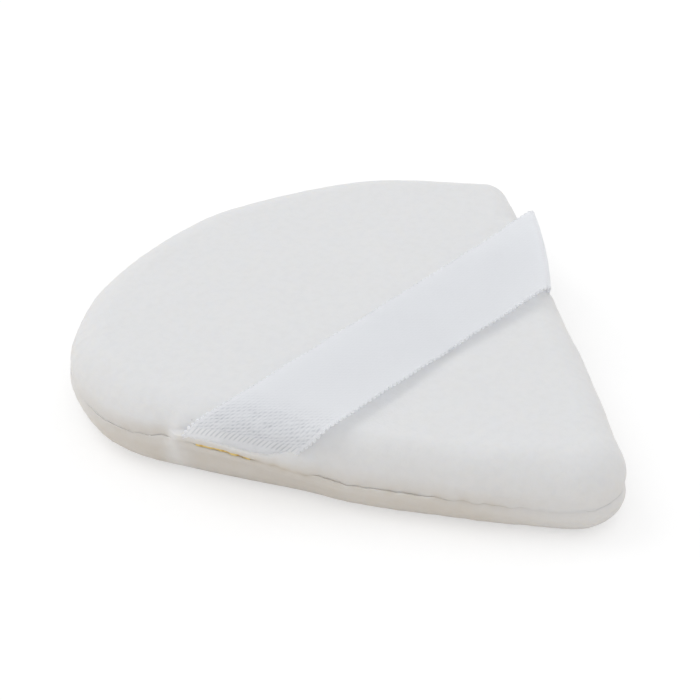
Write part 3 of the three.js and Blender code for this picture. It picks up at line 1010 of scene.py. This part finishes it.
backVelour = makeCover("back_velour", True)
faceVelour = makeCover("face_velour", False)
print("covers sewn:", len(backVelour.data.polygons), "faces each")


# foam core, with a tongue pressed out through the seam under the ribbon's left end
spongeCut = {
    "skin": 1.5,  # room left for the covers
    "channel": 2.35,  # half the height of the channel that the hems lie in
    "edge": 5.2,
    "tongueTop": -0.05,  # from the seam
    "tongueFoot": -0.56,
    "tongueInset": -0.5,
    "taper": 0.02,
    "ragged": 0.03,  # share of the tongue's reach
    "raggedWave": 2.2,
    "pores": 0.02,
    "poreWave": 1.3,
    "steps": (12, 8),  # over the flat and round the edge
}


def makeSponge():
    top, lip, depth = seamHeight - spongeCut["skin"], coverCut["lipHeight"], coverCut["rimDepth"]
    lastAngle = math.acos((spongeCut["channel"] - lip) / (top - lip))
    flatSteps, edgeSteps = spongeCut["steps"]

    def half(crown):
        rows = [(k / flatSteps, depth, top + crown * (1 - (k / flatSteps) ** 2)) for k in range(1, flatSteps)]
        rows += [(1.0, depth - (depth - spongeCut["skin"]) * math.sin(t), lip + (top - lip) * math.cos(t))
                 for t in np.linspace(0, lastAngle, edgeSteps + 1)]
        return rows + [(1.0, spongeCut["edge"], spongeCut["channel"])]

    ragged = 1 + spongeCut["ragged"] * seamNoise(spongeCut["raggedWave"], seeds["tongue"])
    tongue = np.clip(stretchOf("tongue") * ragged, 0.01, 1)
    push = (spongeCut["edge"] - spongeCut["tongueInset"]) * tongue
    upper = [(ringPlace(inset, share), z) for share, inset, z in half(coverCut["crown"])]
    lower = [(ringPlace(inset, share), -z) for share, inset, z in half(0.0)][::-1]
    wall = ringPlace(spongeCut["edge"])
    out = wall + outward * push[:, None]
    middle = [(wall, spongeCut["tongueTop"] + spongeCut["taper"]), (out, spongeCut["tongueTop"]),
              (out, spongeCut["tongueFoot"]), (wall, spongeCut["tongueFoot"] - spongeCut["taper"])]
    count = len(upper)
    rings = []
    for index, (flat, z) in enumerate(upper + middle + lower):
        level = seamLine + z if count <= index < count + len(middle) else np.full(around, seamHeight + z)
        if index < count:
            flat = flat + outward * ribbonPress(spongeCut["skin"], level, spongeCut["skin"])[:, None]
        rings.append(np.column_stack((flat, level)))
    points = np.vstack(((*centre, seamHeight + top + coverCut["crown"]), *rings, (*centre, seamHeight - top)))
    pores = [clothNoise(points, spongeCut["poreWave"], seeds["pores"] + k) for k in range(3)]
    points = points + spongeCut["pores"] * np.stack(pores, 1)
    return newPiece("sponge_core", points, ringFaces(len(rings)), sponge)


spongeCore = makeSponge()
print("sponge cut")


weaveCut = {
    "ribPitch": 0.55,  # lengthwise ribs
    "ribHeight": 0.025,
    "ribSlant": 0.15,
    "ribShare": 0.2,
    "floatPitch": 1.1,  # along a rib
    "floatStep": 0.3,  # from rib to rib, in floats
    "dashLength": 1.3,  # yarns just over the left fold, painted bright on top and dark between
    "dashRise": 1.9,  # over the fold
    "dashSlant": 0.6,
    "dashSoft": 0.5,
    "dashShare": 0.8,
    "openRise": 11.0,  # over the fold, where the weave begins to open
    "openRun": 7.5,
    "openSoft": 0.6,
    "selvedge": 0.5,
    "wave": 0.05,  # slack of the span
    "waveLength": 9.0,
    "waveFade": 4.0,  # towards the bend
    "liftFrom": 9.0,  # inside the rim
    "liftRun": 7.0,
}


# one half of the ribbon, from its tail in the seam to the middle of the span
def ribbonHalf(end, direction):
    half = ribbonCut["width"] / 2
    columns = np.linspace(-half, half, ribbonCut["columns"])
    a = ribbonRows(end, columns)
    v = np.broadcast_to(columns, a.shape)
    place, z, length, down = ribbonSurface(end, a, v)
    stops = ribbonStops(end, v)
    foldRow = place[sum(ribbonCut["bendRows"][:2])]
    drawn = seamLevel(np.array([seamAt(p) for p in foldRow])) - seamHeight
    flatness = np.clip((stops["bendStart"] - length) / weaveCut["waveFade"], 0, 1)
    wave = weaveCut["wave"] * clothNoise(np.stack((a, v), -1), weaveCut["waveLength"], seeds["slack"])
    z = z + drawn * down + wave * eased(flatness)
    lift = end["lift"] * eased(v / half) * eased((length + weaveCut["liftFrom"]) / weaveCut["liftRun"])
    z = z + lift * (1 - down)
    middle = np.dstack((place, seamHeight + z))
    normal = np.cross(np.gradient(middle, axis=1), np.gradient(middle, axis=0)) * direction
    normal /= np.linalg.norm(normal, axis=2)[..., None]
    # on the left the weave opens over the bend, with painted shade there, and its yarns end in dashes just
    # over the fold, painted bright on top and dark between
    shown = (direction < 0) * eased((half - np.abs(v)) / weaveCut["selvedge"])
    dashMiddle = stops["foldStart"] - weaveCut["dashRise"] + weaveCut["dashSlant"] * v / half
    dashHalf = weaveCut["dashLength"] / 2
    dash = between(length, dashMiddle - dashHalf, dashMiddle + dashHalf, weaveCut["dashSoft"])
    above = eased((dashMiddle - length) / weaveCut["openSoft"] + 0.5)
    opening = eased((length - stops["foldStart"] + weaveCut["openRise"]) / weaveCut["openRun"])
    bent = opening * (1 - dash) * above * shown
    pitch = weaveCut["ribPitch"]
    phase = v - weaveCut["ribSlant"] * np.clip(stops["bendStart"] - length, 0, None)
    floats = np.cos(fullTurn * (a / weaveCut["floatPitch"] + weaveCut["floatStep"] * phase / pitch))
    # the rib values raise the surface and also paint highlight and shade on it
    ribs = weaveCut["ribShare"] * bent * (0.5 + 0.5 * floats) * np.cos(fullTurn * phase / pitch)
    rib = ribs + weaveCut["dashShare"] * dash * shown * np.cos(fullTurn * v / pitch)
    upper = middle + normal * (ribbonCut["thick"] / 2 + rib * weaveCut["ribHeight"])[..., None]
    under = middle - normal * ribbonCut["thick"] / 2
    return upper, under, middle, a, v, bent, rib


def ribbonMesh(name, end, direction):
    upper, under, middle, a, v, bent, rib = ribbonHalf(end, direction)
    count, wide = a.shape
    points = np.vstack((upper.reshape(-1, 3), under.reshape(-1, 3)))
    weave = np.tile(np.stack((a, v), -1).reshape(-1, 2), (2, 1))
    below = count * wide
    faces = []
    for r in range(count - 1):
        for c in range(wide - 1):
            p = r * wide + c
            faces.append((p, p + 1, p + wide + 1, p + wide))
            faces.append((below + p, below + p + wide, below + p + wide + 1, below + p + 1))
    for r in range(count - 1):
        p, q = r * wide, r * wide + wide - 1
        faces.append((p, p + wide, below + p + wide, below + p))
        faces.append((q, below + q, below + q + wide, q + wide))
    for c in range(wide - 1):
        p, q = c, (count - 1) * wide + c
        faces.append((p, below + p, below + p + 1, p + 1))
        faces.append((q, q + 1, below + q + 1, below + q))
    if direction > 0:
        faces = [face[::-1] for face in faces]
    piece = newPiece(name, points, faces, satin)
    layer = piece.data.uv_layers.new(name="weave")
    corners = np.empty(len(piece.data.loops), int)
    piece.data.loops.foreach_get("vertex_index", corners)
    layer.data.foreach_set("uv", weave[corners].ravel())
    paint(piece, "bend", np.tile(bent.ravel(), 2))
    paint(piece, "rib", np.tile(rib.ravel(), 2))
    return piece, middle, abs(float(a[0, a.shape[1] // 2]))


ribbonLeft, leftMiddle, leftLength = ribbonMesh("ribbon_left", leftEnd, -1)
ribbonRight, rightMiddle, rightLength = ribbonMesh("ribbon_right", rightEnd, 1)
print("ribbon bent over both rims:", round(leftLength, 1), "and", round(rightLength, 1), "mm long")


# Geometry Nodes: guide in, repeated shapes out
def newTree(name, sizes):
    tree = bpy.data.node_groups.new(name, "GeometryNodeTree")
    tree.interface.new_socket("Guide", in_out="INPUT", socket_type="NodeSocketGeometry")
    for label, value in sizes.items():
        kind = "NodeSocketInt" if isinstance(value, int) else "NodeSocketFloat"
        tree.interface.new_socket(label, in_out="INPUT", socket_type=kind).default_value = value
    tree.interface.new_socket("Result", in_out="OUTPUT", socket_type="NodeSocketGeometry")
    return tree, addNode(tree, "NodeGroupInput").outputs


def closeTree(tree, geometry, finish):
    real = addNode(tree, "GeometryNodeRealizeInstances")
    smooth = addNode(tree, "GeometryNodeSetShadeSmooth")
    dressed = addNode(tree, "GeometryNodeSetMaterial")
    dressed.inputs["Material"].default_value = finish
    end = addNode(tree, "NodeGroupOutput")
    wire(tree, (geometry, real.inputs[0]), (real.outputs[0], smooth.inputs[0]),
         (smooth.outputs[0], dressed.inputs[0]), (dressed.outputs[0], end.inputs[0]))


def guideLine(name, lines, closed=False, outwards=None):
    points, edges, start = [], [], 0
    for line in lines:
        points += (np.asarray(line) * millimetre).tolist()
        edges += [(start + i, start + i + 1) for i in range(len(line) - 1)]
        if closed:
            edges.append((start + len(line) - 1, start))
        start += len(line)
    mesh = bpy.data.meshes.new(name)
    mesh.from_pydata(points, edges, [])
    if outwards is not None:
        mesh.attributes.new("outwards", "FLOAT_VECTOR", "POINT").data.foreach_set(
            "vector", np.vstack(outwards).ravel())
    guide = bpy.data.objects.new(name, mesh)
    scene.collection.objects.link(guide)
    return guide


def grown(name, guide, tree, sizes):
    modifier = guide.modifiers.new("grow", "NODES")
    modifier.node_group = tree
    for item in tree.interface.items_tree:
        if item.in_out == "INPUT" and item.name in sizes:
            modifier[item.identifier] = sizes[item.name]
    graph = bpy.context.evaluated_depsgraph_get()
    mesh = bpy.data.meshes.new_from_object(guide.evaluated_get(graph))
    mesh.name = name
    bpy.data.objects.remove(guide)
    piece = bpy.data.objects.new(name, mesh)
    scene.collection.objects.link(piece)
    return piece


picotSizes = {"Pitch": 0.00078, "Loop Radius": 0.0002, "Thread Radius": 0.00016, "Tilt": 0.22, "Seed": 5}
picotSweep = math.radians(224)


# small loops of weft along the ribbon's two edges
def picotTree():
    tree, size = newTree("picot edge", picotSizes)
    line = addNode(tree, "GeometryNodeMeshToCurve")
    pitch = addNode(tree, "GeometryNodeResampleCurve", mode="LENGTH")
    arc = addNode(tree, "GeometryNodeCurveArc", mode="RADIUS")
    arc.inputs["Resolution"].default_value = 9
    arc.inputs["Start Angle"].default_value = -picotSweep / 2
    arc.inputs["Sweep Angle"].default_value = picotSweep
    yarn = addNode(tree, "GeometryNodeCurvePrimitiveCircle")
    yarn.inputs["Resolution"].default_value = 5
    loop = addNode(tree, "GeometryNodeCurveToMesh")
    loop.inputs["Fill Caps"].default_value = True
    facing = addNode(tree, "GeometryNodeInputNamedAttribute", data_type="FLOAT_VECTOR")
    facing.inputs["Name"].default_value = "outwards"
    frameOf = addNode(tree, "FunctionNodeAxesToRotation", primary_axis="X", secondary_axis="Y")
    lean = addNode(tree, "FunctionNodeRandomValue", data_type="FLOAT")
    low = mathNode(tree, "MULTIPLY", size["Tilt"], -1.0)
    leanTurn = addNode(tree, "FunctionNodeAxisAngleToRotation")
    leanTurn.inputs["Axis"].default_value = (0, 1, 0)
    turn = addNode(tree, "FunctionNodeRotateRotation", rotation_space="LOCAL")
    copies = addNode(tree, "GeometryNodeInstanceOnPoints")
    wire(tree, (size["Guide"], line.inputs[0]), (line.outputs[0], pitch.inputs["Curve"]),
         (size["Pitch"], pitch.inputs["Length"]), (size["Loop Radius"], arc.inputs["Radius"]),
         (size["Thread Radius"], yarn.inputs["Radius"]), (arc.outputs["Curve"], loop.inputs["Curve"]),
         (yarn.outputs["Curve"], loop.inputs["Profile Curve"]),
         (facing.outputs["Attribute"], frameOf.inputs["Primary Axis"]),
         (addNode(tree, "GeometryNodeInputTangent").outputs[0], frameOf.inputs["Secondary Axis"]),
         (low, lean.inputs[2]), (size["Tilt"], lean.inputs[3]), (size["Seed"], lean.inputs["Seed"]),
         (lean.outputs[1], leanTurn.inputs["Angle"]), (frameOf.outputs[0], turn.inputs["Rotation"]),
         (leanTurn.outputs[0], turn.inputs["Rotate By"]), (pitch.outputs[0], copies.inputs["Points"]),
         (loop.outputs[0], copies.inputs["Instance"]), (turn.outputs[0], copies.inputs["Rotation"]))
    closeTree(tree, copies.outputs[0], satin)
    return tree


def picotEdge(name, middle, tree):
    shown = middle[sum(ribbonCut["bendRows"][:2]):]
    lines = (shown[:, 0], shown[:, -1])
    outwards = (shown[:, 0] - shown[:, 1], shown[:, -1] - shown[:, -2])
    outwards = [o / np.linalg.norm(o, axis=1)[:, None] for o in outwards]
    return grown(name, guideLine(name + "_guide", lines, False, outwards), tree, picotSizes)


picots = picotTree()
picotLeft = picotEdge("picot_left", leftMiddle, picots)
picotRight = picotEdge("picot_right", rightMiddle, picots)
print("picot loops:", len(picotLeft.data.polygons) + len(picotRight.data.polygons), "faces")

seamSizes = {"Stitch Pitch": 0.0026, "Thread Radius": 0.0002, "Share Filled": 0.46}


# lockstitch round the turned-in edges
def stitchTree():
    tree, size = newTree("lockstitch", seamSizes)
    line = addNode(tree, "GeometryNodeMeshToCurve")
    pitch = addNode(tree, "GeometryNodeResampleCurve", mode="LENGTH")
    bead = addNode(tree, "GeometryNodeMeshUVSphere")
    bead.inputs["Segments"].default_value = 8
    bead.inputs["Rings"].default_value = 7
    bead.inputs["Radius"].default_value = 1
    shape = addNode(tree, "ShaderNodeCombineXYZ")
    aim = addNode(tree, "FunctionNodeAlignRotationToVector", axis="X")
    copies = addNode(tree, "GeometryNodeInstanceOnPoints")
    wire(tree, (size["Guide"], line.inputs[0]), (line.outputs[0], pitch.inputs["Curve"]),
         (size["Stitch Pitch"], pitch.inputs["Length"]),
         (mathNode(tree, "MULTIPLY", size["Stitch Pitch"], size["Share Filled"]), shape.inputs[0]),
         (size["Thread Radius"], shape.inputs[1]), (size["Thread Radius"], shape.inputs[2]),
         (addNode(tree, "GeometryNodeInputTangent").outputs[0], aim.inputs["Vector"]),
         (pitch.outputs[0], copies.inputs["Points"]), (bead.outputs[0], copies.inputs["Instance"]),
         (aim.outputs[0], copies.inputs["Rotation"]), (shape.outputs[0], copies.inputs["Scale"]))
    closeTree(tree, copies.outputs[0], thread)
    return tree


seamRow = {"inset": coverCut["groove"] + 1.8, "height": 1.85}  # from the rim, and over or under the seam
lockstitch = stitchTree()


def seamThread(name, side):
    line = np.column_stack((ringPlace(seamRow["inset"]), seamLine + side * seamRow["height"]))
    return grown(name, guideLine(name + "_guide", [line], True), lockstitch, seamSizes)


needleStitches = seamThread("needle_stitches", 1)
bobbinStitches = seamThread("bobbin_stitches", -1)

closingSizes = {"Ply Radius": 0.00011, "Sides": 6}
closingRun = {
    "inset": 0.36,
    "length": 24.0,
    "stitches": 8,
    "sway": 0.12,  # to both sides of the seam
    "ply": 0.09,  # from the thread's middle
    "twist": 1.4,  # length of one turn
    "steps": 400,
}


# two plies of thread swept along their own helixes
def plyTree():
    tree, size = newTree("twisted thread", closingSizes)
    line = addNode(tree, "GeometryNodeMeshToCurve")
    yarn = addNode(tree, "GeometryNodeCurvePrimitiveCircle")
    swept = addNode(tree, "GeometryNodeCurveToMesh")
    swept.inputs["Fill Caps"].default_value = True
    wire(tree, (size["Guide"], line.inputs[0]), (size["Ply Radius"], yarn.inputs["Radius"]),
         (size["Sides"], yarn.inputs["Resolution"]), (line.outputs[0], swept.inputs["Curve"]),
         (yarn.outputs["Curve"], swept.inputs["Profile Curve"]))
    closeTree(tree, swept.outputs[0], thread)
    return tree


def closingThread():
    discs = wedge["roundDisc"], wedge["leftDisc"]
    blunt = cornerArc(*discs, puffCut["bluntRadius"], wedge["left"], closingRun["inset"])
    arc = arcPoints(*blunt, closingRun["steps"])
    corner = np.linalg.norm(np.diff(arc, axis=0), axis=1).sum()
    share = min(closingRun["length"] / corner, 1)
    half = closingRun["steps"] // 2
    arc = arc[int(half - half * share):int(half + half * share)]
    run = np.linspace(0, 1, len(arc))
    sway = -closingRun["sway"] * np.cos(fullTurn * closingRun["stitches"] * run)
    level = seamLevel(np.array([seamAt(p) for p in arc]))
    outwards = (arc - blunt[0]) / np.linalg.norm(arc - blunt[0], axis=1)[:, None]
    lines = []
    for start in (0, math.pi):
        angle = start + fullTurn * run * closingRun["length"] / closingRun["twist"]
        flat = arc + outwards * (closingRun["ply"] * np.cos(angle))[:, None]
        lines.append(np.column_stack((flat, level + sway + closingRun["ply"] * np.sin(angle))))
    return grown("closing_stitches", guideLine("closing_guide", lines), plyTree(), closingSizes)


closingStitches = closingThread()
print("stitches sewn")


stillPieces = ((backVelour, "velour", "back_cover"), (faceVelour, "velour", "face_cover"),
               (spongeCore, "sponge", "foam_core"), (needleStitches, "thread", "needle_thread"),
               (bobbinStitches, "thread", "bobbin_thread"), (closingStitches, "thread", "closing_thread"))
for piece, slot, node in stillPieces:
    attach(piece, "puff")
    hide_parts(node)

for end, length, cloth, loops in ((leftEnd, leftLength, ribbonLeft, picotLeft),
                                  (rightEnd, rightLength, ribbonRight, picotRight)):
    for piece in (cloth, loops):
        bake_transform(piece)
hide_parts("strap_left_tail", "strap_left_leg", "strap_span")
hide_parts("strap_right_tail", "strap_right_leg")
